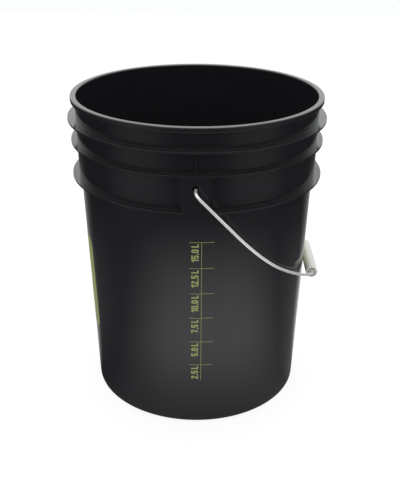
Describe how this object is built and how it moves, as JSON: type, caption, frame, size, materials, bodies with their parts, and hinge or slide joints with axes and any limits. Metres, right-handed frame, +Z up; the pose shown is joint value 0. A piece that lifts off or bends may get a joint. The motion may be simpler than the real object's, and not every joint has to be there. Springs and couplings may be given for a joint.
{
  "type": "wash bucket",
  "caption": "Black tapered round pail with a rim bead, neck rings, hanging wire bail with a loose grip, printed volume scale and printed side panels.",
  "frame": {"origin": "centre of the ring that the pail stands on", "axes": "+Z up through the mouth; the bail's pivot line runs along Y; the bail hangs on the +X side; the volume scale faces -Y"},
  "size_m": [0.3109, 0.3368, 0.385],
  "materials": {
    "black_plastic": "satin moulded polyethylene",
    "zinc_wire": "bright zinc plate",
    "milky_plastic": "unpigmented polyethylene, slightly see-through",
    "ink": "screen-printed yellow-green ink"
  },
  "bodies": {
    "tub": {"tub": "black_plastic", "scale_line": "ink", "numeral_15_0": "ink", "numeral_12_5": "ink", "numeral_10_0": "ink", "numeral_7_5": "ink", "numeral_5_0": "ink", "numeral_2_5": "ink", "side_print_left": "ink", "side_print_right": "ink"},
    "bail": {"bail_wire": "zinc_wire"},
    "grip": {"grip": "milky_plastic"}
  },
  "joints": [
    {"name": "bail_pivot", "type": "hinge", "parent": "tub", "child": "bail", "pos_m": [0, 0, 0.3166], "axis": [0, -1, 0], "range_deg": [0, 272.2]},
    {"name": "grip_spin", "type": "hinge", "parent": "bail", "child": "grip", "pos_m": [0.14596, 0, 0.16492], "axis": [0, 1, 0], "continuous": true}
  ]
}
